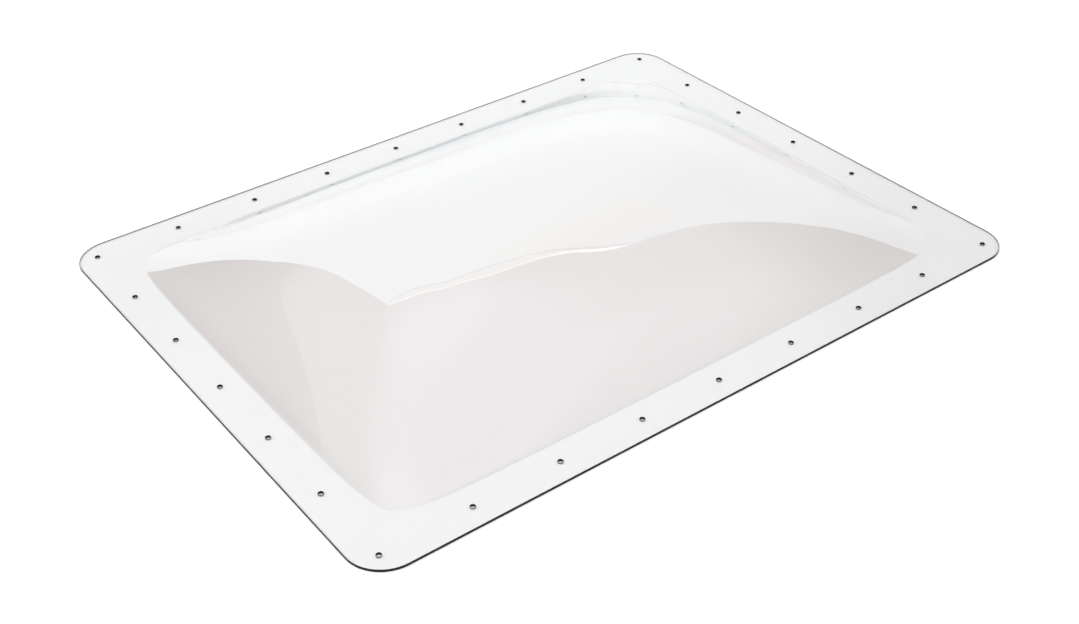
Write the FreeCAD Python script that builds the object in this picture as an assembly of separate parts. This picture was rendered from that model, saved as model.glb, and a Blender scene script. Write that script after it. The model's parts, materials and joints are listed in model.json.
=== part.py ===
import FreeCAD, Part
import math
import os

from FreeCAD import Vector

# Sheet: overall size over the cut edges, flange corners and thickness
FLANGE_LENGTH = 863.6
FLANGE_WIDTH = 660.4
FLANGE_CORNER_RADIUS = 41.3
SHEET_THICKNESS = 3.0
EDGE_BREAK = 0.4

# Screw holes: one row all round the flange, corner holes shared by both sides
HOLE_DIAMETER = 5.6
HOLE_EDGE_DISTANCE = 25.4
HOLE_SPACING = 101.6

# Dome: a pillow blown up from the flange, a little thinner at the crown
FLANGE_LAND = 50.8
DOME_RISE = 87.0
CROWN_THICKNESS = 2.6
FULLNESS_ALONG_LENGTH = 3.25
FULLNESS_ALONG_WIDTH = 2.3
FOOT_SINK = 1.5
FOOT_RADIUS = 6.0

# Surface grid, reach of the cutting bodies past what they cut, and tolerance on flat edges
GRID_STEP = 32.0
CUT_ALLOWANCE = 10.0
FLAT_TOLERANCE = 0.01

FLANGE_TOP = SHEET_THICKNESS
FOOT_LENGTH = FLANGE_LENGTH - 2 * FLANGE_LAND
FOOT_WIDTH = FLANGE_WIDTH - 2 * FLANGE_LAND
PILLOW_HEIGHT = DOME_RISE + FOOT_SINK

# The pillow springs from a rectangle just below the flange's top, so that its foot line on the flange
# comes out with rounded corners and exactly the foot's length and width along its middle lines.
SINK_SHARE = FOOT_SINK / PILLOW_HEIGHT
HALF_LENGTH = FOOT_LENGTH / 2 / (1 - SINK_SHARE) ** (1 / FULLNESS_ALONG_LENGTH)
HALF_WIDTH = FOOT_WIDTH / 2 / (1 - SINK_SHARE) ** (1 / FULLNESS_ALONG_WIDTH)


def fall(share, fullness):
    """Height share left at a distance share from the crown, and its slope with respect to that share."""
    size = abs(share)
    slope = -fullness * size ** (fullness - 1) * math.copysign(1, share)
    return 1 - size ** fullness, slope


def dome_point(x, y, wall):
    """Point of the dome over plan position x, y, moved inwards by a share of the wall thickness."""
    along, along_slope = fall(x / HALF_LENGTH, FULLNESS_ALONG_LENGTH)
    across, across_slope = fall(y / HALF_WIDTH, FULLNESS_ALONG_WIDTH)
    outer = Vector(x, y, FLANGE_TOP - FOOT_SINK + PILLOW_HEIGHT * along * across)
    normal = Vector(
        -PILLOW_HEIGHT * along_slope * across / HALF_LENGTH,
        -PILLOW_HEIGHT * along * across_slope / HALF_WIDTH,
        1,
    )
    normal.normalize()
    thickness = SHEET_THICKNESS + (CROWN_THICKNESS - SHEET_THICKNESS) * along * across
    return outer - normal * (wall * thickness)


def stations(half):
    """Even grid stations from -half to half, with one at the middle."""
    count = 2 * max(4, math.ceil(half / GRID_STEP))
    return [half * (2 * i / count - 1) for i in range(count + 1)]


def under_dome(wall):
    """Solid below one face of the dome: wall 0 is the outer face and wall 1 the inner face."""
    grid = [[dome_point(x, y, wall) for y in stations(HALF_WIDTH)] for x in stations(HALF_LENGTH)]
    surface = Part.BSplineSurface()
    surface.interpolate(grid)
    depth = PILLOW_HEIGHT + SHEET_THICKNESS + CUT_ALLOWANCE
    return surface.toShape().extrude(Vector(0, 0, -depth))


def rounded_plate(length, width, radius, height):
    """Flat plate on z = 0 with rounded corners, centred on the origin."""
    plate = Part.makeBox(length, width, height, Vector(-length / 2, -width / 2, 0))
    upright = [e for e in plate.Edges if abs(e.tangentAt(e.FirstParameter).z) > 0.5]
    return plate.makeFillet(radius, upright)


def hole_centres():
    """Plan positions of the screw holes, evenly spaced near the nominal spacing on every side."""
    span_x = FLANGE_LENGTH - 2 * HOLE_EDGE_DISTANCE
    span_y = FLANGE_WIDTH - 2 * HOLE_EDGE_DISTANCE
    gaps_x = max(1, round(span_x / HOLE_SPACING))
    gaps_y = max(1, round(span_y / HOLE_SPACING))
    centres = []
    for i in range(gaps_x + 1):
        x = -span_x / 2 + i * span_x / gaps_x
        centres += [(x, -span_y / 2), (x, span_y / 2)]
    for j in range(1, gaps_y):
        y = -span_y / 2 + j * span_y / gaps_y
        centres += [(-span_x / 2, y), (span_x / 2, y)]
    return centres


def foot_edges(sheet, height):
    """Curved edges of the dome's foot line that lie flat at the given height."""
    found = []
    for edge in sheet.Edges:
        box = edge.BoundBox
        flat = abs(box.ZMin - height) < FLAT_TOLERANCE and abs(box.ZMax - height) < FLAT_TOLERANCE
        within = box.XMax < HALF_LENGTH and box.YMax < HALF_WIDTH
        if flat and within and isinstance(edge.Curve, Part.BSplineCurve):
            found.append(edge)
    return found


def quarter_sheet():
    """One quarter of flange and dome, with the foot line rounded on both faces."""
    plate = rounded_plate(FLANGE_LENGTH, FLANGE_WIDTH, FLANGE_CORNER_RADIUS, SHEET_THICKNESS)
    rims = [e for e in plate.Edges if abs(e.tangentAt(e.FirstParameter).z) < 0.5]
    plate = plate.makeChamfer(EDGE_BREAK, rims)
    height = FLANGE_TOP + DOME_RISE + CUT_ALLOWANCE
    quadrant = Part.makeBox(FLANGE_LENGTH, FLANGE_WIDTH, height)
    sheet = plate.common(quadrant).fuse(under_dome(0).common(quadrant)).removeSplitter()
    sheet = sheet.cut(under_dome(1))
    sheet = sheet.makeFillet(FOOT_RADIUS, foot_edges(sheet, FLANGE_TOP))
    return sheet.makeFillet(FOOT_RADIUS + SHEET_THICKNESS, foot_edges(sheet, 0))


def skylight_dome():
    """Flange and dome of one blown sheet, with its screw holes."""
    centre = Vector(0, 0, 0)
    quarter = quarter_sheet()
    half = quarter.fuse(quarter.mirror(centre, Vector(1, 0, 0)))
    sheet = half.fuse(half.mirror(centre, Vector(0, 1, 0))).removeSplitter()
    drill_length = SHEET_THICKNESS + 2 * CUT_ALLOWANCE
    drills = [
        Part.makeCylinder(HOLE_DIAMETER / 2, drill_length, Vector(x, y, -CUT_ALLOWANCE))
        for x, y in hole_centres()
    ]
    return sheet.cut(Part.makeCompound(drills))


def main():
    os.makedirs("parts", exist_ok=True)
    sheet = skylight_dome()
    solid = sheet.Solids[0]
    print("solids", len(sheet.Solids), "valid", solid.isValid(), "faces", len(solid.Faces))
    print("volume mm3", round(solid.Volume), "box", solid.BoundBox)
    solid.exportStep("parts/skylight_dome.step")


main()
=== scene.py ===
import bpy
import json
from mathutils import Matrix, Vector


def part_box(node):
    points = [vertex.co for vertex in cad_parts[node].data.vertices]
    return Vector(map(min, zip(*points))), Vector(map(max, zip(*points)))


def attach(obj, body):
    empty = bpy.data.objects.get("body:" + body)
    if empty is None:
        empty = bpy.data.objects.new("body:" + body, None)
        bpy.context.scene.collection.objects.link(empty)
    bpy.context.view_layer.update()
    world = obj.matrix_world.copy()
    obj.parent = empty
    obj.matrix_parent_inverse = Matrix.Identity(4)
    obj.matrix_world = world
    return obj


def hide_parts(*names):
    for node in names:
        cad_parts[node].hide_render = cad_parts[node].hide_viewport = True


bl_info = {
    "name": "Skylight Dome",
    "version": (1, 0, 0),
    "blender": (4, 5, 0),
    "location": "3D View > Sidebar > Skylight",
    "description": "Makes a clear one-piece skylight dome, its finishes and the studio round it",
    "category": "Add Mesh",
}

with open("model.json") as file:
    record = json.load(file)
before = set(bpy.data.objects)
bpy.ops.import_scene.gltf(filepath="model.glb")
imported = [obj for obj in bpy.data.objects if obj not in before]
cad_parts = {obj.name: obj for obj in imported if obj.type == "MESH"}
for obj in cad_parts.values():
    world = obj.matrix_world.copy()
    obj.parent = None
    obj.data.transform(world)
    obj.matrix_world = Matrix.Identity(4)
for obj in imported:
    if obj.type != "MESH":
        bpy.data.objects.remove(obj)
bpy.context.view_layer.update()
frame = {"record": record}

import json
import math
from bisect import bisect_right

import bmesh
import bpy
from bpy.props import FloatProperty, FloatVectorProperty, IntProperty, PointerProperty
from mathutils import Matrix, Quaternion, Vector

NODE = "skylight_dome"
LOW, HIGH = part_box(NODE)
PATTERNS = [m for m in frame["record"]["mounts"] if m["kind"] == "bolt_pattern"]

# Sizes that the frame gives: the sheet over its edges, its thickness, the dome's rise and the holes
LENGTH = HIGH.x - LOW.x
WIDTH = HIGH.y - LOW.y
THICKNESS = 2 * PATTERNS[0]["pos_m"][2]
RISE = HIGH.z - THICKNESS
HOLE_RADIUS = PATTERNS[0]["dims"]["hole_r_mm"] / 1000
UP = Vector((0, 0, 1))

# Steps round each rounded corner of the flange and round each screw hole, and what counts as the same place
CORNER_STEPS, HOLE_STEPS = 20, 36
TOLERANCE = 0.00001

# Fades: where each one starts and ends, and the level before and after it. The sheet's runs along X, and the
# floor's run along X - Y, from left to right as the camera sees it. The floor's fades are painted shade: its glow
# seen through the sheet falls off towards the right end and the far left, and its glow in mirrors towards the
# right.
LEAK_RIGHT = (0.30, 0.36, 0.2, 1.0)
FLOOR_THROUGH_LEFT = (-0.60, -0.42, 0.65, 1.0)
FLOOR_THROUGH_RIGHT = (0.37, 0.58, 1.0, 0.4)
FLOOR_MIRRORED_RIGHT = (0.15, 0.45, 1.0, 0.26)

# The screen's fades run along Z, along X, along Z for its colour, and out from its warm patch.
SCREEN_LOW = (0.0, 1.0, 0.88, 1.0)
SCREEN_HIGH = (1.8, 3.8, 1.0, 1.16)
SCREEN_RIGHT = (2.2, 3.1, 1.0, 0.85)
SCREEN_TONE = (0.4, 2.4, 0.0, 1.0)
WARM_PATCH = (0.3, 1.7, 1.0, 0.0)

# The ceiling's are in metres sideways per metre of height: out from its middle, towards +X, and along a
# slant. Its bright spots give their places towards +X and +Y in the same way, and how bright they are.
CEILING_REACH = (1.2, 1.75, 1.0, 0.0)
CEILING_RIGHT = (0.72, 1.12, 1.0, 0.0)
CEILING_SLANT = (-1.15, -1.12, 0.3, 1.0)
SLANT_X, SLANT_Y = 0.778, -0.629
CEILING_SPOTS = ((0.15, 0.48, 1.0), (0.66, -0.36, 1.0), (-0.32, 0.86, 0.35))
MIDDLE_REACH, SPOT_REACH = (0.45, 0.75), (0.12, 0.38)


class SheetSettings(bpy.types.PropertyGroup):
    corner_radius: FloatProperty(
        name="Flange Corner",
        description="Radius of the flange's outer corners",
        default=0.0413,
        min=0.001,
        unit="LENGTH",
    )
    land: FloatProperty(
        name="Flange Land",
        description="Width of the flat flange from its cut edge to the dome's foot line",
        default=0.0508,
        unit="LENGTH",
    )
    crown_thickness: FloatProperty(
        name="Crown Thickness",
        description="Thickness of the stretched sheet at the dome's crown",
        default=0.0026,
        unit="LENGTH",
    )
    foot_sink: FloatProperty(
        name="Foot Sink",
        description="Depth below the flange's top from which the pillow springs, which rounds its foot corners",
        default=0.0015,
        unit="LENGTH",
    )
    foot_radius: FloatProperty(
        name="Foot Radius",
        description="Radius of the bend between flange and dome, on the outer face",
        default=0.006,
        unit="LENGTH",
    )
    fullness_along: FloatProperty(
        name="Fullness Along",
        description="Power of the dome's fall towards its short sides",
        default=3.25,
        min=1.0,
    )
    fullness_across: FloatProperty(
        name="Fullness Across",
        description="Power of the dome's fall towards its long sides",
        default=2.3,
        min=1.0,
    )
    edge_break: FloatProperty(
        name="Edge Break",
        description="Size of the scraped corner along the flange's cut edge",
        default=0.0004,
        unit="LENGTH",
    )
    hole_break: FloatProperty(
        name="Hole Break",
        description="Size of the broken corner round each drilled hole",
        default=0.00015,
        unit="LENGTH",
    )
    segments: IntProperty(
        name="Segments",
        description="Points round the dome's foot line",
        default=400,
        min=32,
    )
    rings: IntProperty(
        name="Rings",
        description="Rings of faces from the dome's foot to its crown",
        default=60,
        min=8,
    )


class FinishSettings(bpy.types.PropertyGroup):
    tint: FloatVectorProperty(
        name="Sheet Tint",
        description="Colour that the clear sheet gives to what is seen through it",
        default=(0.985, 0.985, 0.98),
        min=0.0,
        max=1.0,
        size=3,
        subtype="COLOR",
    )
    # Painted shade: the sheet's colour in the darker band just inside the dome's foot line, standing in for shade
    # there.
    foot_shade_colour: FloatVectorProperty(
        name="Bend Tint",
        description="Colour that the sheet gives where it is stretched most, just inside the dome's foot line",
        default=(0.86, 0.855, 0.85),
        min=0.0,
        max=1.0,
        size=3,
        subtype="COLOR",
    )
    # Painted shade: the clear sheet's cut edges are painted near black, standing in for the darkness seen in them
    # and the shade in the holes.
    edge_shade_colour: FloatVectorProperty(
        name="Cut Edge Tint",
        description="Colour of the sawn and drilled edges, which take most light that enters them",
        default=(0.012, 0.012, 0.012),
        min=0.0,
        max=1.0,
        size=3,
        subtype="COLOR",
    )
    # Painted shade too, a little paler where the tool marks are.
    tool_mark_shade_colour: FloatVectorProperty(
        name="Tool Mark Tint",
        description="Colour of the finer, paler tool marks in the cut edges",
        default=(0.035, 0.035, 0.036),
        min=0.0,
        max=1.0,
        size=3,
        subtype="COLOR",
    )
    index: FloatProperty(
        name="Refractive Index",
        description="Refractive index of polycarbonate",
        default=1.585,
        min=1.0,
    )
    wave_depth: FloatProperty(
        name="Wave Depth",
        description="Depth of the slow waves that blowing leaves in the sheet",
        default=0.00006,
        unit="LENGTH",
    )
    wave_length: FloatProperty(
        name="Wave Length",
        description="Usual distance between two of those waves",
        default=0.11,
        unit="LENGTH",
    )
    rubbing: FloatProperty(
        name="Rubbing",
        description="Roughness of the most rubbed places of the sheet",
        default=0.035,
        min=0.0,
        max=1.0,
        subtype="FACTOR",
    )
    caught_after: IntProperty(
        name="Caught After",
        description="Number of turns after which light that is thrown to and fro inside the sheet leaks out",
        default=5,
        min=1,
    )
    leak_share: FloatProperty(
        name="Leak Share",
        description="Share of that light which gets out on the +X side",
        default=0.54,
        min=0.0,
        max=1.0,
        subtype="FACTOR",
    )
    edge_shine: FloatProperty(
        name="Cut Edge Shine",
        description="How strongly the cut edges mirror what is beside them",
        default=0.12,
        min=0.0,
        max=1.0,
        subtype="FACTOR",
    )


class StageSettings(bpy.types.PropertyGroup):
    azimuth: FloatProperty(
        name="View Azimuth",
        description="Bearing in which the camera looks, from +Y towards +X",
        default=math.radians(36.253),
        subtype="ANGLE",
    )
    elevation: FloatProperty(
        name="View Elevation",
        description="Angle by which the camera looks down",
        default=math.radians(35.589),
        subtype="ANGLE",
    )
    roll: FloatProperty(
        name="Camera Roll",
        description="Turn of the camera about its own axis",
        default=math.radians(-1.187),
        subtype="ANGLE",
    )
    distance: FloatProperty(
        name="Camera Distance",
        description="Distance from the camera to the point that it aims at",
        default=1.6318,
        unit="LENGTH",
    )
    aim: FloatVectorProperty(
        name="Aim",
        description="Point on the flange's top that the camera aims at",
        default=(-0.07271, -0.09807, THICKNESS),
        size=3,
        subtype="XYZ_LENGTH",
    )
    lens: FloatProperty(
        name="Lens",
        description="Focal length on a sensor 36 mm wide",
        default=50.31,
        subtype="DISTANCE_CAMERA",
    )
    floor_colour: FloatVectorProperty(
        name="Floor Colour",
        description="Colour of the floor",
        default=(0.86, 0.837, 0.83),
        size=3,
        subtype="COLOR",
    )
    mirrored_colour: FloatVectorProperty(
        name="Mirrored Glow Colour",
        description="Colour of the light that the floor adds where the sheet mirrors it",
        default=(0.72, 1.0, 1.09),
        size=3,
        subtype="COLOR",
        max=2.0,
    )
    through_colour: FloatVectorProperty(
        name="Through Glow Colour",
        description="Colour of the light that the floor adds where it is seen through the sheet",
        default=(0.94, 1.04, 1.08),
        size=3,
        subtype="COLOR",
        max=2.0,
    )
    seen_glow: FloatProperty(
        name="Floor Glow, Seen",
        description="Light that the floor adds for the eye, so that it reads white beside the sheet",
        default=0.34,
    )
    rim_fade: FloatProperty(
        name="Rim Fade",
        description="Width just inside the flange's outline over which that light for the eye comes up",
        default=0.004,
        unit="LENGTH",
    )
    mirrored_glow: FloatProperty(
        name="Floor Glow, Mirrored",
        description="Light that the floor adds where the sheet mirrors it",
        default=0.36,
    )
    through_glow: FloatProperty(
        name="Floor Glow, Through",
        description="Light that the floor adds where it is seen through the sheet",
        default=0.09,
    )
    screen_distance: FloatProperty(
        name="Screen Distance",
        description="Distance from the object to the white screen behind it",
        default=3.4,
        unit="LENGTH",
    )
    low_colour: FloatVectorProperty(
        name="Screen Colour, Low",
        description="Colour of the screen's light near the floor",
        default=(0.94, 1.0, 1.01),
        size=3,
        subtype="COLOR",
        max=2.0,
    )
    high_colour: FloatVectorProperty(
        name="Screen Colour, High",
        description="Colour of the screen's light in its upper half",
        default=(0.88, 1.0, 1.04),
        size=3,
        subtype="COLOR",
        max=2.0,
    )
    warm_colour: FloatVectorProperty(
        name="Warm Colour",
        description="Colour of the warmer and dimmer patch in the screen's upper right part",
        default=(0.87, 0.95, 0.94),
        size=3,
        subtype="COLOR",
    )
    screen_level: FloatProperty(
        name="Screen Level",
        description="Brightness of the screen at mid height",
        default=1.38,
    )
    border_colour: FloatVectorProperty(
        name="Border Colour",
        description="Colour of the seam, border and rail along the screen's top",
        default=(0.95, 1.0, 0.97),
        size=3,
        subtype="COLOR",
    )
    seam_level: FloatProperty(
        name="Seam Level",
        description="Brightness of the narrow seam between screen and border",
        default=0.5,
    )
    border_level: FloatProperty(
        name="Border Level",
        description="Brightness of the thinner border along the screen's top",
        default=1.38,
    )
    rail_level: FloatProperty(
        name="Rail Level",
        description="Brightness of the bare rail that carries the screen",
        default=2.6,
    )
    ceiling_colour: FloatVectorProperty(
        name="Ceiling Colour",
        description="Colour of the light on the studio's ceiling",
        default=(0.92, 1.03, 1.08),
        size=3,
        subtype="COLOR",
        max=2.0,
    )
    ceiling_level: FloatProperty(
        name="Ceiling Level",
        description="Brightness of the ceiling away from its middle",
        default=0.48,
    )
    ceiling_peak: FloatProperty(
        name="Ceiling Peak",
        description="Brightness that the ceiling gains towards its middle",
        default=0.38,
    )
    ceiling_spot: FloatProperty(
        name="Ceiling Spot",
        description="Brightness that the ceiling gains once more in the brightest of its spots",
        default=0.25,
    )
    dim_colour: FloatVectorProperty(
        name="Dim Studio",
        description="Colour of the dark parts of the studio, which the sheet mirrors",
        default=(0.085, 0.060, 0.058),
        size=3,
        subtype="COLOR",
    )


def hole_centres():
    """Plan places of the screw holes, from the bolt patterns that the frame's record lists."""
    centres = set()
    for pattern in PATTERNS:
        half_x = pattern["dims"].get("spacing_x_mm", 0) / 2000
        half_y = pattern["dims"].get("spacing_y_mm", 0) / 2000
        middle_x, middle_y = pattern["pos_m"][:2]
        for side_x in (-1, 1):
            for side_y in (-1, 1):
                centres.add((middle_x + side_x * half_x, middle_y + side_y * half_y))
    return sorted(centres)


class Pillow:
    """Outer face of the dome: a pillow over a rectangle, and the foot line where it meets the flange's top."""

    HALVINGS = 48

    def __init__(self, shape):
        self.base = THICKNESS - shape.foot_sink
        self.height = RISE + shape.foot_sink
        self.sunk = shape.foot_sink / self.height
        self.p, self.q = shape.fullness_along, shape.fullness_across
        self.half_x = (LENGTH / 2 - shape.land) / (1 - self.sunk) ** (1 / self.p)
        self.half_y = (WIDTH / 2 - shape.land) / (1 - self.sunk) ** (1 / self.q)
        self.foot_wall = THICKNESS
        self.crown_wall = shape.crown_thickness

    def shares(self, x, y):
        """How full the dome is along and across at a plan place."""
        return 1 - (abs(x) / self.half_x) ** self.p, 1 - (abs(y) / self.half_y) ** self.q

    def fall(self, x, y):
        """How steeply the dome falls outwards along X and along Y."""
        along, across = self.shares(x, y)
        by_x = self.p * (abs(x) / self.half_x) ** (self.p - 1) * across / self.half_x
        by_y = self.q * (abs(y) / self.half_y) ** (self.q - 1) * along / self.half_y
        return Vector((math.copysign(by_x, x), math.copysign(by_y, y))) * self.height

    def surface(self, x, y):
        """Point, outward normal and wall thickness at a plan place."""
        along, across = self.shares(x, y)
        full = along * across
        fall = self.fall(x, y)
        wall = self.foot_wall + (self.crown_wall - self.foot_wall) * full
        return Vector((x, y, self.base + self.height * full)), Vector((*fall, 1)).normalized(), wall

    def foot_point(self, turn):
        """Point of the foot line in one direction from the middle."""
        way = Vector((math.cos(turn) * self.half_x, math.sin(turn) * self.half_y))
        near, far = 0.5, 1 / max(abs(math.cos(turn)), abs(math.sin(turn)))
        for _ in range(self.HALVINGS):
            middle = (near + far) / 2
            along, across = self.shares(*(way * middle))
            near, far = (middle, far) if along * across > self.sunk else (near, middle)
        return way * near

    def foot_line(self, count, corner_pull, fine=4000):
        """Points of the foot line, closer together where it turns."""
        turns = [math.tau * i / fine for i in range(fine + 1)]
        places = [self.foot_point(turn) for turn in turns]
        ways = [self.fall(*place).normalized() for place in places]
        run = [0.0]
        for i in range(fine):
            run.append(run[-1] + (places[i + 1] - places[i]).length + corner_pull * ways[i].angle(ways[i + 1], 0.0))
        line = []
        for k in range(count):
            goal = run[-1] * k / count
            i = bisect_right(run, goal) - 1
            share = (goal - run[i]) / (run[i + 1] - run[i])
            line.append(self.foot_point(turns[i] + share * math.tau / fine))
        return line


def eased(share):
    """Smooth step from 0 to 1."""
    share = min(max(share, 0.0), 1.0)
    return share * share * (3 - 2 * share)


class SheetFace:
    """Rings of the outer face, from a flat ring on the flange over the bend and up to the crown."""

    FLAT_MARGIN = 0.002
    BEND_STEPS = 8
    CORNER_PULL = 0.06
    CROWN_SHARE = 0.012
    TURN_SHARE = 0.35
    CROWDING = 1.2
    # Painted shade band inside the foot line: its width on the long and short sides, its share on the short sides,
    # and where it fades out at the corners.
    LONG_SIDE_BAND, SHORT_SIDE_BAND = 0.0022, 0.0115
    SHORT_SIDE_SHARE = 0.45
    CORNER_X, CORNER_FADE_X = 0.29, 0.07
    CORNER_Y, CORNER_FADE_Y = 0.19, 0.06

    def __init__(self, shape):
        self.pillow = Pillow(shape)
        self.radius = shape.foot_radius
        self.rings = shape.rings
        self.foot = self.pillow.foot_line(shape.segments, self.CORNER_PULL)
        self.out = []
        self.slope = []
        for place in self.foot:
            fall = self.pillow.fall(*place)
            self.out.append(fall.normalized())
            self.slope.append(math.atan(fall.length))
        self.reach = min(LENGTH, WIDTH) / 2 - shape.land

    def count(self):
        """Number of rings in all."""
        return 1 + self.BEND_STEPS + 1 + self.rings

    def depth(self, share):
        """How far towards the crown a share of the rings comes: they are closer together at the foot."""
        return (1 - self.CROWN_SHARE) * share**self.CROWDING

    def place(self, ring, spot):
        """Point, outward normal and wall at one spot of one ring."""
        foot, out, slope = self.foot[spot], self.out[spot], self.slope[spot]
        start = self.radius * math.tan(slope / 2)
        if ring == 0:
            flat = foot + out * (start + self.FLAT_MARGIN)
            return Vector((*flat, THICKNESS)), UP, THICKNESS
        if ring <= self.BEND_STEPS + 1:
            angle = slope * (ring - 1) / self.BEND_STEPS
            plan = foot + out * (start - self.radius * math.sin(angle))
            normal = Vector((*(out * math.sin(angle)), math.cos(angle)))
            _, _, wall = self.pillow.surface(*foot)
            share = (ring - 1) / self.BEND_STEPS
            wall = THICKNESS + (wall - THICKNESS) * share
            return Vector((*plan, THICKNESS + self.radius * (1 - math.cos(angle)))), normal, wall
        share = (ring - self.BEND_STEPS - 1) / self.rings
        depth = self.depth(share)
        stepped = foot - out * (start * math.cos(slope) + depth * self.reach)
        scaled = foot * (1 - depth)
        blend = eased(share / self.TURN_SHARE)
        return self.pillow.surface(*stepped.lerp(scaled, blend))

    def foot_shade(self, ring, spot):
        """Share of the painted shade band just inside the foot line, wider and paler along the short sides."""
        if ring <= 1:
            return 0.0
        foot, out, slope = self.foot[spot], self.out[spot], self.slope[spot]
        cornered = eased((abs(foot.x) - self.CORNER_X) / self.CORNER_FADE_X)
        cornered *= eased((abs(foot.y) - self.CORNER_Y) / self.CORNER_FADE_Y)
        weight = (1 - cornered) * (1 + (self.SHORT_SIDE_SHARE - 1) * out.x**2)
        if ring <= self.BEND_STEPS + 1:
            inside = self.radius * math.sin(slope * (ring - 1) / self.BEND_STEPS)
        else:
            share = (ring - self.BEND_STEPS - 1) / self.rings
            inside = self.radius * math.sin(slope) + self.depth(share) * self.reach
        band = self.LONG_SIDE_BAND + (self.SHORT_SIDE_BAND - self.LONG_SIDE_BAND) * out.x**2
        return weight * math.exp(-((inside / band) ** 2))


def ring_edges(verts):
    """Edges of a closed ring of vertices."""
    wanted = set(verts)
    return [e for v in verts for e in v.link_edges if v is e.verts[0] and e.verts[1] in wanted]


def make_outer_face(bm, shape):
    """The sheet's outer face as one open skin: pillow, bend, and flat flange with its holes."""
    outward = bm.verts.layers.float_vector.new("outward")
    wall = bm.verts.layers.float.new("wall")
    spot = bm.verts.layers.int.new("spot")
    # Share of the painted shade band at each vertex.
    foot_shade = bm.verts.layers.float.new("foot_shade")
    face = SheetFace(shape)

    ring = bmesh.ops.create_circle(bm, cap_ends=False, radius=1.0, segments=shape.segments)["verts"]
    for k, v in enumerate(ring):
        v[spot] = k
        v.co, v[outward], v[wall] = face.place(0, k)
    rim = ring_edges(ring)
    edges = rim
    for r in range(1, face.count()):
        made = bmesh.ops.extrude_edge_only(bm, edges=edges)["geom"]
        ring = [g for g in made if isinstance(g, bmesh.types.BMVert)]
        for v in ring:
            v.co, v[outward], v[wall] = face.place(r, v[spot])
            v[foot_shade] = face.foot_shade(r, v[spot])
        edges = ring_edges(ring)
    crown, _, crown_wall = face.pillow.surface(0, 0)
    bmesh.ops.pointmerge(bm, verts=ring, merge_co=crown)
    for v in bm.verts:
        if (v.co - crown).length < TOLERANCE:
            v[outward], v[wall] = UP, crown_wall

    blank = bmesh.ops.create_grid(bm, x_segments=1, y_segments=1, size=1.0)["verts"]
    bmesh.ops.scale(bm, vec=(LENGTH / 2, WIDTH / 2, 1), verts=blank)
    bmesh.ops.translate(bm, vec=UP * THICKNESS, verts=blank)
    bmesh.ops.bevel(
        bm,
        geom=blank,
        offset=shape.corner_radius,
        offset_type="OFFSET",
        segments=CORNER_STEPS,
        profile=0.5,
        affect="VERTICES",
        clamp_overlap=False,
        material=-1,
    )
    plate = [f for f in bm.faces if max(abs(v.co.x) for v in f.verts) > LENGTH / 2 - TOLERANCE]
    outline = list(dict.fromkeys(e for f in plate for e in f.edges))
    bmesh.ops.delete(bm, geom=plate, context="FACES_ONLY")
    for x, y in hole_centres():
        middle = Matrix.Translation((x, y, THICKNESS))
        circle = bmesh.ops.create_circle(bm, cap_ends=False, radius=HOLE_RADIUS, segments=HOLE_STEPS, matrix=middle)
        outline += ring_edges(circle["verts"])
    for e in outline:
        for v in e.verts:
            v[outward], v[wall] = UP, THICKNESS
    bmesh.ops.triangle_fill(bm, use_beauty=True, use_dissolve=False, edges=outline + rim, normal=UP)

    bmesh.ops.recalc_face_normals(bm, faces=bm.faces)
    if sum(f.normal.z * f.calc_area() for f in bm.faces) < 0:
        bmesh.ops.reverse_faces(bm, faces=bm.faces)
    return outward, wall


def give_thickness(bm, outward, wall):
    """Turns the open skin into a closed sheet: a second face inside it, walls round the outline and the holes."""
    skin = bm.faces[:]
    made = bmesh.ops.extrude_face_region(bm, geom=skin, use_keep_orig=True)["geom"]
    inner = [g for g in made if isinstance(g, bmesh.types.BMFace)]
    for g in made:
        if isinstance(g, bmesh.types.BMVert):
            g.co = g.co - Vector(g[outward]) * g[wall]
    outer, within = set(skin), set(inner)
    walls = [f for f in bm.faces if f not in outer and f not in within]
    bmesh.ops.reverse_faces(bm, faces=inner)
    bmesh.ops.recalc_face_normals(bm, faces=bm.faces)
    if bm.calc_volume(signed=True) < 0:
        bmesh.ops.reverse_faces(bm, faces=bm.faces)
    return walls


def break_corners(bm, walls, shape):
    """Breaks the corners of the sawn edge and of the holes, and gives all cut faces the second material."""
    for f in walls:
        f.material_index = 1
    rims = [e for e in bm.edges if len({f.material_index for f in e.link_faces}) > 1]
    drilled = [e for e in rims if near_hole(e.verts[0])]
    sawn = [e for e in rims if not near_hole(e.verts[0])]
    for edges, size, steps in ((sawn, shape.edge_break, 2), (drilled, shape.hole_break, 1)):
        bmesh.ops.bevel(
            bm,
            geom=edges,
            offset=size,
            offset_type="OFFSET",
            segments=steps,
            profile=0.5,
            affect="EDGES",
            clamp_overlap=True,
            material=1,
        )


def near_hole(v):
    """True for a vertex on the rim of a screw hole."""
    return any(math.hypot(v.co.x - x, v.co.y - y) < 1.5 * HOLE_RADIUS for x, y in hole_centres())


def soften(bm, sharp_angle):
    """Smooth shading, with every edge past the given angle kept sharp."""
    for f in bm.faces:
        f.smooth = True
    for e in bm.edges:
        if len(e.link_faces) == 2:
            e.smooth = e.calc_face_angle(0.0) < sharp_angle


def add_node(tree, kind, at, **values):
    """A shader node with its inputs or settings set by name."""
    node = tree.nodes.new(kind)
    node.location = at
    for key, value in values.items():
        name = key.replace("_", " ")
        if name in node.inputs:
            node.inputs[name].default_value = value
        else:
            setattr(node, key, value)
    return node


def new_material(name):
    """A material with an empty node tree, its output node and its tree."""
    material = bpy.data.materials.new(name)
    material.use_nodes = True
    tree = material.node_tree
    tree.nodes.clear()
    return material, tree, add_node(tree, "ShaderNodeOutputMaterial", (900, 0))


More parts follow.
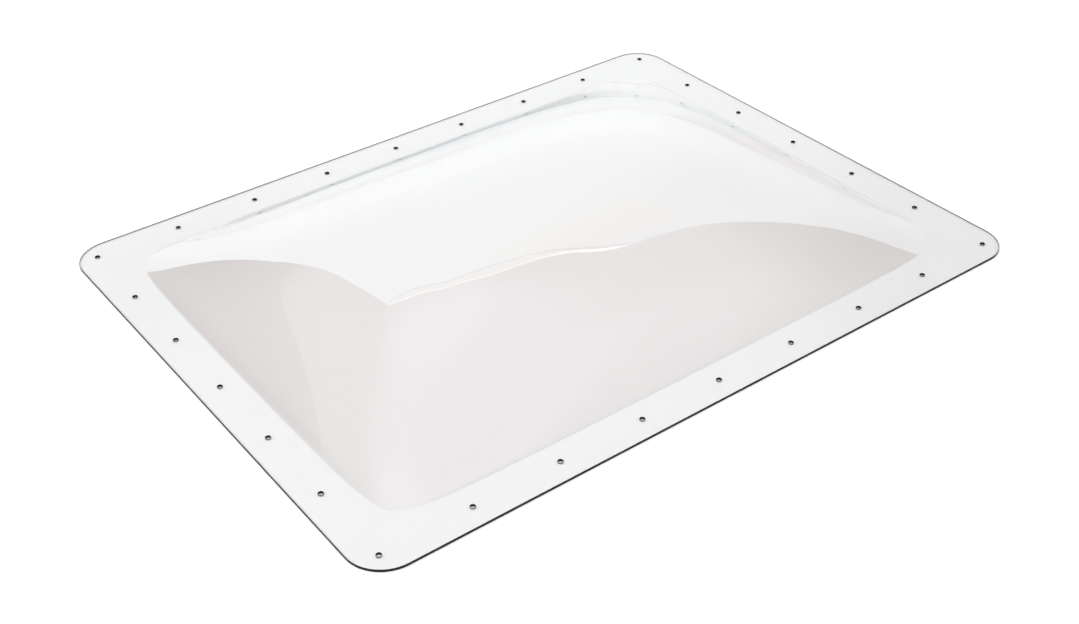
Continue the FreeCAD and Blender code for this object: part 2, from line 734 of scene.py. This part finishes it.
def feed(tree, socket, source):
    """Links a socket to another one, or gives it a value."""
    if isinstance(source, bpy.types.NodeSocket):
        tree.links.new(source, socket)
    else:
        socket.default_value = source


def reckoned(tree, operation, at, *values):
    """Result of a math node fed by sockets or plain numbers."""
    node = add_node(tree, "ShaderNodeMath", at, operation=operation)
    for socket, value in zip(node.inputs, values):
        feed(tree, socket, value)
    return node.outputs[0]


def mixed(tree, share, first, second, at):
    """Colour between two colours or colour sockets."""
    tone = add_node(tree, "ShaderNodeMix", at, data_type="RGBA")
    tree.links.new(share, tone.inputs[0])
    for source, socket in ((first, tone.inputs[6]), (second, tone.inputs[7])):
        feed(tree, socket, source if isinstance(source, bpy.types.NodeSocket) else (*source, 1))
    return tone.outputs[2]


def blended(tree, share, first, second, at):
    """Shader between two shaders."""
    mix = add_node(tree, "ShaderNodeMixShader", at)
    for socket, source in zip(mix.inputs, (share, first, second)):
        tree.links.new(source, socket)
    return mix.outputs[0]


def faded(tree, value, start, end, from_level, to_level, at):
    """A level that goes smoothly from one value to another while its input goes from start to end."""
    fade = add_node(tree, "ShaderNodeMapRange", at, interpolation_type="SMOOTHSTEP")
    for name, limit in (("From Min", start), ("From Max", end), ("To Min", from_level), ("To Max", to_level)):
        fade.inputs[name].default_value = limit
    tree.links.new(value, fade.inputs["Value"])
    return fade.outputs["Result"]


def times(fade, level):
    """The limits of a fade, with both its levels multiplied."""
    start, end, before, after = fade
    return start, end, before * level, after * level


def glowing(tree, output, level, colour, plain=None):
    """Ends a stage material in light of one level and colour, on top of a plain shader if there is one."""
    light = add_node(tree, "ShaderNodeEmission", (400, -200))
    feed(tree, light.inputs["Strength"], level)
    feed(tree, light.inputs["Color"], colour)
    shader = light.outputs[0]
    if plain is not None:
        both = add_node(tree, "ShaderNodeAddShader", (650, 0))
        tree.links.new(plain, both.inputs[0])
        tree.links.new(shader, both.inputs[1])
        shader = both.outputs[0]
    tree.links.new(shader, output.inputs["Surface"])


def clear_polycarbonate(finish):
    """Clear, polished sheet: slow waves from the blowing, faint rubbing, and painted shade in a band just inside
    the foot line.
    """
    material, tree, output = new_material("clear_polycarbonate")
    link = tree.links.new
    place = add_node(tree, "ShaderNodeTexCoord", (-1100, 0))
    waves = add_node(
        tree, "ShaderNodeTexNoise", (-800, 200), Scale=1 / finish.wave_length, Detail=1.0, Roughness=0.4
    )
    link(place.outputs["Object"], waves.inputs["Vector"])
    waved = add_node(tree, "ShaderNodeBump", (-300, 200), Strength=1.0, Distance=finish.wave_depth)
    link(waves.outputs["Fac"], waved.inputs["Height"])

    rubbing = add_node(tree, "ShaderNodeTexNoise", (-800, -100), Scale=14.0, Detail=6.0, Roughness=0.65)
    link(place.outputs["Object"], rubbing.inputs["Vector"])
    rough = add_node(tree, "ShaderNodeMapRange", (-300, -100), From_Min=0.45, From_Max=0.8, To_Max=finish.rubbing)
    link(rubbing.outputs["Fac"], rough.inputs["Value"])

    # Painted shade: the sheet's colour darkens in a band just inside the foot line.
    stretched = add_node(tree, "ShaderNodeAttribute", (-800, 500), attribute_name="foot_shade")
    tone = mixed(tree, stretched.outputs["Fac"], finish.tint, finish.foot_shade_colour, (-300, 500))
    sheet = add_node(tree, "ShaderNodeBsdfPrincipled", (0, 100), IOR=finish.index, Transmission_Weight=1.0)
    link(tone, sheet.inputs["Base Color"])
    link(rough.outputs["Result"], sheet.inputs["Roughness"])
    link(waved.outputs["Normal"], sheet.inputs["Normal"])

    link(lamps_pass(tree, leaking(tree, sheet.outputs[0], finish), finish), output.inputs["Surface"])
    return material


def leaking(tree, shader, finish):
    """Lets light that has been thrown to and fro inside the sheet leak out, most of it on the +X side."""
    rays = add_node(tree, "ShaderNodeLightPath", (-300, 900))
    caught = reckoned(tree, "GREATER_THAN", (-100, 900), rays.outputs["Ray Depth"], finish.caught_after + 0.5)
    place = add_node(tree, "ShaderNodeTexCoord", (-700, 700))
    split = add_node(tree, "ShaderNodeSeparateXYZ", (-500, 700))
    tree.links.new(place.outputs["Object"], split.inputs[0])
    share = faded(tree, split.outputs["X"], *times(LEAK_RIGHT, finish.leak_share), (-300, 700))
    leak = add_node(tree, "ShaderNodeBsdfTransparent", (-100, 700))
    tree.links.new(share, leak.inputs["Color"])
    return blended(tree, caught, shader, leak.outputs[0], (200, 700))


def lamps_pass(tree, shader, finish):
    """Lets lamp light and light scattered by the floor through the sheet, less of it at grazing angles."""
    rays = add_node(tree, "ShaderNodeLightPath", (0, 500))
    head_on = 1 - ((finish.index - 1) / (finish.index + 1)) ** 2
    tilt = add_node(tree, "ShaderNodeLayerWeight", (-800, -400), Blend=0.5)
    steep = reckoned(tree, "POWER", (-600, -400), tilt.outputs["Facing"], 5.0)
    share = reckoned(tree, "MULTIPLY_ADD", (-300, -400), steep, -head_on, head_on)
    passed = add_node(tree, "ShaderNodeBsdfTransparent", (0, -400))
    tree.links.new(share, passed.inputs["Color"])
    for kind in ("Is Shadow Ray", "Is Diffuse Ray"):
        shader = blended(tree, rays.outputs[kind], shader, passed.outputs[0], (400, 0))
    return shader


def cut_edge(finish):
    """Sawn and drilled edges: fine upright tool marks, rough, and painted near black as shade for how dark they are
    to look into.
    """
    material, tree, output = new_material("cut_edge")
    link = tree.links.new
    place = add_node(tree, "ShaderNodeTexCoord", (-1100, 0))
    upright = add_node(tree, "ShaderNodeMapping", (-900, 0), Scale=(1.0, 1.0, 0.05))
    link(place.outputs["Object"], upright.inputs["Vector"])
    marks = add_node(tree, "ShaderNodeTexNoise", (-700, 0), Scale=1400.0, Detail=3.0, Roughness=0.6)
    link(upright.outputs["Vector"], marks.inputs["Vector"])
    sawn = add_node(tree, "ShaderNodeBump", (-300, 150), Strength=0.6, Distance=0.00008)
    link(marks.outputs["Fac"], sawn.inputs["Height"])
    rough = add_node(tree, "ShaderNodeMapRange", (-300, -100), To_Min=0.28, To_Max=0.55)
    link(marks.outputs["Fac"], rough.inputs["Value"])
    # Painted shade: a near-black colour, a little paler in the tool marks.
    paler = faded(tree, marks.outputs["Fac"], 0.5, 0.72, 0.0, 1.0, (-500, 350))
    tone = mixed(tree, paler, finish.edge_shade_colour, finish.tool_mark_shade_colour, (-300, 350))
    edge = add_node(
        tree, "ShaderNodeBsdfPrincipled", (0, 100), IOR=finish.index, Specular_IOR_Level=finish.edge_shine
    )
    link(tone, edge.inputs["Base Color"])
    link(rough.outputs["Result"], edge.inputs["Roughness"])
    link(sawn.outputs["Normal"], edge.inputs["Normal"])
    link(edge.outputs[0], output.inputs["Surface"])
    return material


class SKYLIGHT_OT_sheet(bpy.types.Operator):
    """Make the clear sheet: drilled flange and blown dome in one piece"""

    bl_idname = "skylight.sheet"
    bl_label = "Clear Sheet"

    SHARP_ANGLE = math.radians(14)

    def execute(self, context):
        shape = context.scene.skylight_sheet
        bm = bmesh.new()
        outward, wall = make_outer_face(bm, shape)
        walls = give_thickness(bm, outward, wall)
        break_corners(bm, walls, shape)
        soften(bm, self.SHARP_ANGLE)
        open_edges = sum(1 for e in bm.edges if len(e.link_faces) != 2)
        volume = bm.calc_volume(signed=True)
        if open_edges or volume <= 0:
            raise RuntimeError(f"the sheet isn't closed: {open_edges} loose edges, volume {volume:.6f} m3")
        print(f"sheet: {len(bm.faces)} faces, {volume * 1e6:.1f} cm3")
        bm.verts.layers.float_vector.remove(outward)
        bm.verts.layers.float.remove(wall)
        mesh = bpy.data.meshes.new("polycarbonate_sheet")
        bm.to_mesh(mesh)
        bm.free()
        piece = bpy.data.objects.new("polycarbonate_sheet", mesh)
        context.scene.collection.objects.link(piece)
        finish = context.scene.skylight_finish
        mesh.materials.append(clear_polycarbonate(finish))
        mesh.materials.append(cut_edge(finish))
        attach(piece, "root")
        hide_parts(NODE)
        return {"FINISHED"}


def floor_finish(stage, corner):
    """Plain pale floor, with a little more light for the eye beside the sheet, in mirrors and through the sheet; in
    mirrors and through the sheet that light fades towards the right, as painted shade.
    """
    material, tree, output = new_material("studio_floor")
    paint = add_node(tree, "ShaderNodeBsdfDiffuse", (0, 0), Color=(*stage.floor_colour, 1))
    rays = add_node(tree, "ShaderNodeLightPath", (-800, -300))
    place = add_node(tree, "ShaderNodeTexCoord", (-1400, -600))
    split = add_node(tree, "ShaderNodeSeparateXYZ", (-1200, -600))
    tree.links.new(place.outputs["Object"], split.inputs[0])
    right = reckoned(tree, "SUBTRACT", (-1000, -600), split.outputs["X"], split.outputs["Y"])
    # Painted shade: the glow seen through the sheet fades out towards the right end and the far left, and the
    # mirrored glow towards the right.
    through = faded(tree, right, *times(FLOOR_THROUGH_RIGHT, stage.through_glow), (-800, -600))
    from_left = faded(tree, right, *FLOOR_THROUGH_LEFT, (-800, -900))
    through = reckoned(tree, "MULTIPLY", (-600, -600), through, from_left)
    mirrored = faded(tree, right, *times(FLOOR_MIRRORED_RIGHT, stage.mirrored_glow), (-800, -1200))
    # A ray through the sheet counts as a mirrored one too, so the mirrored glow is taken off it again
    less = reckoned(tree, "SUBTRACT", (-400, -600), through, mirrored)

    from_corner = add_node(tree, "ShaderNodeCombineXYZ", (-800, 100))
    for axis, half in (("X", LENGTH / 2), ("Y", WIDTH / 2)):
        beyond = reckoned(tree, "ABSOLUTE", (-1200, 100), split.outputs[axis])
        beyond = reckoned(tree, "SUBTRACT", (-1100, 100), beyond, half - corner)
        beyond = reckoned(tree, "MAXIMUM", (-1000, 100), beyond, 0.0)
        tree.links.new(beyond, from_corner.inputs[axis])
    away = add_node(tree, "ShaderNodeVectorMath", (-600, 100), operation="LENGTH")
    tree.links.new(from_corner.outputs[0], away.inputs[0])
    rim = corner - stage.rim_fade
    seen = faded(tree, away.outputs["Value"], rim, corner, 0.0, stage.seen_glow, (-400, 100))

    level = reckoned(tree, "MULTIPLY", (-500, -100), rays.outputs["Is Camera Ray"], seen)
    level = reckoned(tree, "MULTIPLY_ADD", (-300, -200), rays.outputs["Is Glossy Ray"], mirrored, level)
    level = reckoned(tree, "MULTIPLY_ADD", (-100, -300), rays.outputs["Is Transmission Ray"], less, level)
    level = reckoned(tree, "MAXIMUM", (100, -300), level, 0.0)
    tone = mixed(tree, rays.outputs["Is Glossy Ray"], (1.0, 1.0, 1.0), stage.mirrored_colour, (-300, -500))
    tone = mixed(tree, rays.outputs["Is Transmission Ray"], tone, stage.through_colour, (-100, -500))
    glowing(tree, output, level, tone, plain=paint.outputs[0])
    return material


def screen_finish(stage, warm_spot):
    """Bright screen, dimmer close to the floor and at its right end, with a warmer patch round one spot."""
    material, tree, output = new_material("studio_screen")
    link = tree.links.new
    place = add_node(tree, "ShaderNodeTexCoord", (-1200, -100))
    split = add_node(tree, "ShaderNodeSeparateXYZ", (-1000, 100))
    link(place.outputs["Object"], split.inputs[0])
    low = faded(tree, split.outputs["Z"], *SCREEN_LOW, (-700, 200))
    high = faded(tree, split.outputs["Z"], *SCREEN_HIGH, (-700, 0))
    right = faded(tree, split.outputs["X"], *SCREEN_RIGHT, (-700, 400))
    level = reckoned(tree, "MULTIPLY", (-500, 100), low, high)
    level = reckoned(tree, "MULTIPLY", (-350, 100), level, right)
    level = reckoned(tree, "MULTIPLY", (-200, 100), level, stage.screen_level)
    risen = faded(tree, split.outputs["Z"], *SCREEN_TONE, (-700, -600))
    tone = mixed(tree, risen, stage.low_colour, stage.high_colour, (-300, -500))
    apart = add_node(tree, "ShaderNodeVectorMath", (-900, -300), operation="DISTANCE")
    apart.inputs[1].default_value = warm_spot
    link(place.outputs["Object"], apart.inputs[0])
    near = faded(tree, apart.outputs["Value"], *WARM_PATCH, (-700, -300))
    glowing(tree, output, level, mixed(tree, near, tone, stage.warm_colour, (0, -300)))
    return material


def plain_glow(name, level, colour):
    """A stage material that gives light of one level and colour."""
    material, tree, output = new_material(name)
    glowing(tree, output, level, (*colour, 1))
    return material


def walls_finish(stage):
    """Dark studio with a lit ceiling: brightest overhead, fading to the right and towards the walls."""
    material, tree, output = new_material("studio_walls")
    link = tree.links.new
    place = add_node(tree, "ShaderNodeTexCoord", (-1800, 0))
    split = add_node(tree, "ShaderNodeSeparateXYZ", (-1600, 0))
    link(place.outputs["Object"], split.inputs[0])
    # The height is kept above nothing, so that the two divisions by it hold below the floor's level too
    height = reckoned(tree, "MAXIMUM", (-1400, -200), split.outputs["Z"], 0.01)
    right = reckoned(tree, "DIVIDE", (-1200, 100), split.outputs["X"], height)
    back = reckoned(tree, "DIVIDE", (-1200, -100), split.outputs["Y"], height)
    leaning = add_node(tree, "ShaderNodeCombineXYZ", (-1000, 0))
    link(right, leaning.inputs["X"])
    link(back, leaning.inputs["Y"])
    from_spots = []
    for k, (x, y, _) in enumerate(((0, 0, 0), *CEILING_SPOTS)):
        apart = add_node(tree, "ShaderNodeVectorMath", (-800, 200 - 200 * k), operation="DISTANCE")
        apart.inputs[1].default_value = (x, y, 0)
        link(leaning.outputs[0], apart.inputs[0])
        from_spots.append(apart.outputs["Value"])
    from_middle = from_spots.pop(0)
    peak = stage.ceiling_level + stage.ceiling_peak
    level = faded(tree, from_middle, *MIDDLE_REACH, peak, stage.ceiling_level, (-400, 200))
    for from_spot, (_, _, share) in zip(from_spots, CEILING_SPOTS):
        spot = faded(tree, from_spot, *SPOT_REACH, share * stage.ceiling_spot, 0.0, (-400, 400))
        level = reckoned(tree, "ADD", (-300, 200), level, spot)
    slant = reckoned(tree, "MULTIPLY", (-1000, -400), back, SLANT_Y)
    slant = reckoned(tree, "MULTIPLY_ADD", (-800, -400), right, SLANT_X, slant)
    for k, (along, fade) in enumerate(
        ((from_middle, CEILING_REACH), (right, CEILING_RIGHT), (slant, CEILING_SLANT))
    ):
        share = faded(tree, along, *fade, (-400, -200 * k))
        level = reckoned(tree, "MULTIPLY", (100 * k - 200, 200), level, share)
    dim = add_node(tree, "ShaderNodeEmission", (200, 200), Color=(*stage.dim_colour, 1))
    glowing(tree, output, level, (*stage.ceiling_colour, 1), plain=dim.outputs[0])
    return material


def stage_object(context, name, bm, *materials):
    """A stage piece from a bmesh."""
    mesh = bpy.data.meshes.new(name)
    bm.to_mesh(mesh)
    bm.free()
    for material in materials:
        mesh.materials.append(material)
    piece = bpy.data.objects.new(name, mesh)
    context.scene.collection.objects.link(piece)
    return piece


def bell(value, middle, width):
    """Bell curve, 1 at its middle."""
    return math.exp(-(((value - middle) / width) ** 2))


def bearing_point(bearing, distance, height):
    """Point at a bearing in degrees, from +Y towards +X."""
    a = math.radians(bearing)
    return Vector((distance * math.sin(a), distance * math.cos(a), height))


class SKYLIGHT_OT_stage(bpy.types.Operator):
    """Make the floor, the screen, the studio's walls and ceiling, the lamps and the camera"""

    bl_idname = "skylight.stage"
    bl_label = "Stage"

    FLOOR_GAP = 0.0004
    FLOOR_SHARE = 1.1
    STUDIO_RADIUS = 7.0

    # The screen's height, its grid, and the waves of its top: rise, then bearing and width in degrees
    SCREEN_HEIGHT, SCREEN_FOOT = 4.62, 0.02
    SCREEN_COLUMNS, SCREEN_ROWS = 60, 30
    TOP_WAVES = ((0.36, 25, 10), (-0.30, 50, 9))

    # Its left and right edges: bearing in degrees, height of the bend, and lean above and curve below it
    LEFT_BEARING, LEFT_BEND, LEFT_LEAN, LEFT_CURVE = -4.9, 1.75, 1.95, 2.5
    RIGHT_BEARING, RIGHT_BEND, RIGHT_LEAN = 82.4, 2.4, 4.4

    # Seam, border and rail: their heights, and the bearings where they start and end, each with its fade
    SEAM_HEIGHT, RAIL_HEIGHT, BAND_MIN = 0.045, 0.075, 0.002
    BORDER_HEIGHT, BORDER_SWELL, SWELL_BEARING, SWELL_WIDTH = 0.29, 0.23, 39.5, 7
    BANDS_START, BANDS_END, BORDER_END = (-4, 14), (69, 4), (58, 12)
    WARM_BEARING, WARM_HEIGHT = 52, 3.9

    # Lamps: bearing and height in degrees, then distance, size and power, or level and width in degrees
    KEY_BEARING, KEY_HEIGHT, KEY_DISTANCE, KEY_SIZE, KEY_POWER = -65, 50, 6.0, 1.6, 66.0
    SOFT_LAMPS = (("fill", 150, 62, 0.9, 50), ("top", -60, 80, 1.65, 60))
    SOFT_DISTANCE = 4

    def execute(self, context):
        stage = context.scene.skylight_stage
        self.make_floor(context, stage)
        self.make_screen(context, stage)
        self.make_walls(context, stage)
        self.place_lamps(context)
        self.light_world(context, stage)
        self.aim_camera(context, stage)
        return {"FINISHED"}

    def make_floor(self, context, stage):
        """Round floor a little below the flange's underside."""
        bm = bmesh.new()
        bmesh.ops.create_circle(
            bm,
            cap_ends=True,
            radius=self.FLOOR_SHARE * self.STUDIO_RADIUS,
            segments=64,
            matrix=Matrix.Translation((0, 0, -self.FLOOR_GAP)),
        )
        stage_object(context, "floor", bm, floor_finish(stage, context.scene.skylight_sheet.corner_radius))

    def screen_left(self, height):
        """Bearing of the screen's left edge, which leans in above its bend and curves in below it."""
        above = height - self.LEFT_BEND
        lean = self.LEFT_LEAN * max(above, 0.0)
        return self.LEFT_BEARING + lean + self.LEFT_CURVE * max(-above, 0.0) ** 1.5

    def screen_right(self, height):
        """Bearing of the screen's right edge, which leans in above its bend."""
        return self.RIGHT_BEARING - self.RIGHT_LEAN * max(height - self.RIGHT_BEND, 0.0) ** 1.5

    def band_heights(self, bearing):
        """Heights of the seam, the border and the rail at a bearing."""
        start, grown = self.BANDS_START
        end, shrunk = self.BANDS_END
        full = eased((bearing - start) / grown) * eased((end - bearing) / shrunk)
        border_end, thinned = self.BORDER_END
        border = self.BORDER_HEIGHT * eased((border_end - bearing) / thinned)
        border += self.BORDER_SWELL * bell(bearing, self.SWELL_BEARING, self.SWELL_WIDTH)
        return [self.BAND_MIN + size * full for size in (self.SEAM_HEIGHT, border, self.RAIL_HEIGHT)]

    def make_screen(self, context, stage):
        """Upright curved screen behind the object, with a seam, a thinner border and a rail along its top."""
        bm = bmesh.new()
        rows = self.SCREEN_ROWS + 3
        bmesh.ops.create_grid(bm, x_segments=self.SCREEN_COLUMNS, y_segments=rows, size=0.5)
        for f in bm.faces:
            f.material_index = max(0, int((f.calc_center_median().y + 0.5) * rows) - self.SCREEN_ROWS + 1)
        for v in bm.verts:
            across, row = v.co.x + 0.5, round((v.co.y + 0.5) * rows)
            up = min(row / self.SCREEN_ROWS, 1.0)
            level = up * self.SCREEN_HEIGHT
            left, right = self.screen_left(level), self.screen_right(level)
            bearing = left + (right - left) * across
            top = self.SCREEN_HEIGHT
            for rise, middle, width in self.TOP_WAVES:
                top += rise * bell(bearing, middle, width)
            height = self.SCREEN_FOOT + (top - self.SCREEN_FOOT) * up
            for k, size in enumerate(self.band_heights(bearing)):
                if row > self.SCREEN_ROWS + k:
                    height += size
            v.co = bearing_point(bearing, stage.screen_distance, height)
        warm_spot = bearing_point(self.WARM_BEARING, stage.screen_distance, self.WARM_HEIGHT)
        seam = plain_glow("studio_seam", stage.seam_level, stage.border_colour)
        border = plain_glow("studio_border", stage.border_level, stage.border_colour)
        rail = plain_glow("studio_rail", stage.rail_level, stage.border_colour)
        screen = stage_object(context, "screen", bm, screen_finish(stage, warm_spot), seam, border, rail)
        screen.visible_shadow = screen.visible_diffuse = screen.visible_camera = False

    def make_walls(self, context, stage):
        """Round shell for the studio's walls and ceiling. The camera sees plain white instead."""
        bm = bmesh.new()
        bmesh.ops.create_uvsphere(bm, u_segments=96, v_segments=48, radius=self.STUDIO_RADIUS)
        walls = stage_object(context, "walls", bm, walls_finish(stage))
        walls.visible_shadow = walls.visible_diffuse = walls.visible_camera = False

    def place_lamp(self, context, lamp, bearing, height, distance):
        """Puts a lamp on a bearing and a height, both in degrees, facing the object."""
        source = bpy.data.objects.new(lamp.name, lamp)
        back = bearing_point(bearing, math.cos(math.radians(height)), math.sin(math.radians(height)))
        source.rotation_mode = "QUATERNION"
        source.rotation_quaternion = back.to_track_quat("Z", "Y")
        source.location = back * distance
        source.visible_glossy = False
        source.visible_transmission = False
        context.scene.collection.objects.link(source)

    def place_lamps(self, context):
        """A key lamp at the back left and two soft ones. On the floor they add up to plain white light."""
        key = bpy.data.lights.new("key", "AREA")
        key.shape = "DISK"
        key.size = self.KEY_SIZE
        key.energy = self.KEY_POWER
        self.place_lamp(context, key, self.KEY_BEARING, self.KEY_HEIGHT, self.KEY_DISTANCE)
        for name, bearing, height, level, width in self.SOFT_LAMPS:
            lamp = bpy.data.lights.new(name, "SUN")
            lamp.energy = level
            lamp.angle = math.radians(width)
            self.place_lamp(context, lamp, bearing, height, self.SOFT_DISTANCE)

    def light_world(self, context, stage):
        """Plain white for the camera, and the dim studio for everything else."""
        world = bpy.data.worlds.new("studio")
        context.scene.world = world
        world.use_nodes = True
        tree = world.node_tree
        tree.nodes.clear()
        rays = add_node(tree, "ShaderNodeLightPath", (-600, 0))
        dim = add_node(tree, "ShaderNodeBackground", (-200, -100), Strength=1.0, Color=(*stage.dim_colour, 1))
        white = add_node(tree, "ShaderNodeBackground", (-200, 100), Strength=1.0, Color=(1, 1, 1, 1))
        both = blended(tree, rays.outputs["Is Camera Ray"], dim.outputs[0], white.outputs[0], (100, 0))
        output = add_node(tree, "ShaderNodeOutputWorld", (300, 0))
        tree.links.new(both, output.inputs["Surface"])
        context.scene.view_settings.view_transform = "Standard"

    def aim_camera(self, context, stage):
        """Camera at the viewing angle, with a slight roll."""
        data = bpy.data.cameras.new("camera")
        data.sensor_width = 36.0
        data.lens = stage.lens
        data.clip_end = 100.0
        camera = bpy.data.objects.new("camera", data)
        a, e = stage.azimuth, stage.elevation
        look = Vector((math.sin(a) * math.cos(e), math.cos(a) * math.cos(e), -math.sin(e)))
        camera.rotation_mode = "QUATERNION"
        camera.rotation_quaternion = look.to_track_quat("-Z", "Y") @ Quaternion((0, 0, 1), stage.roll)
        camera.location = Vector(stage.aim) - look * stage.distance
        context.scene.collection.objects.link(camera)
        context.scene.camera = camera


class SKYLIGHT_PT_panel(bpy.types.Panel):
    bl_label = "Skylight Dome"
    bl_idname = "SKYLIGHT_PT_panel"
    bl_space_type = "VIEW_3D"
    bl_region_type = "UI"
    bl_category = "Skylight"

    def draw(self, context):
        scene = context.scene
        for operator, settings in (
            (SKYLIGHT_OT_sheet, (scene.skylight_sheet, scene.skylight_finish)),
            (SKYLIGHT_OT_stage, (scene.skylight_stage,)),
        ):
            box = self.layout.box()
            box.operator(operator.bl_idname)
            for group in settings:
                for name in group.__annotations__:
                    box.prop(group, name)


CLASSES = (
    SheetSettings,
    FinishSettings,
    StageSettings,
    SKYLIGHT_OT_sheet,
    SKYLIGHT_OT_stage,
    SKYLIGHT_PT_panel,
)


def register():
    for cls in CLASSES:
        bpy.utils.register_class(cls)
    bpy.types.Scene.skylight_sheet = PointerProperty(type=SheetSettings)
    bpy.types.Scene.skylight_finish = PointerProperty(type=FinishSettings)
    bpy.types.Scene.skylight_stage = PointerProperty(type=StageSettings)


def unregister():
    del bpy.types.Scene.skylight_stage
    del bpy.types.Scene.skylight_finish
    del bpy.types.Scene.skylight_sheet
    for cls in reversed(CLASSES):
        bpy.utils.unregister_class(cls)


def main():
    register()
    bpy.ops.skylight.sheet()
    bpy.ops.skylight.stage()
    bpy.context.view_layer.update()


if __name__ == "__main__":
    main()
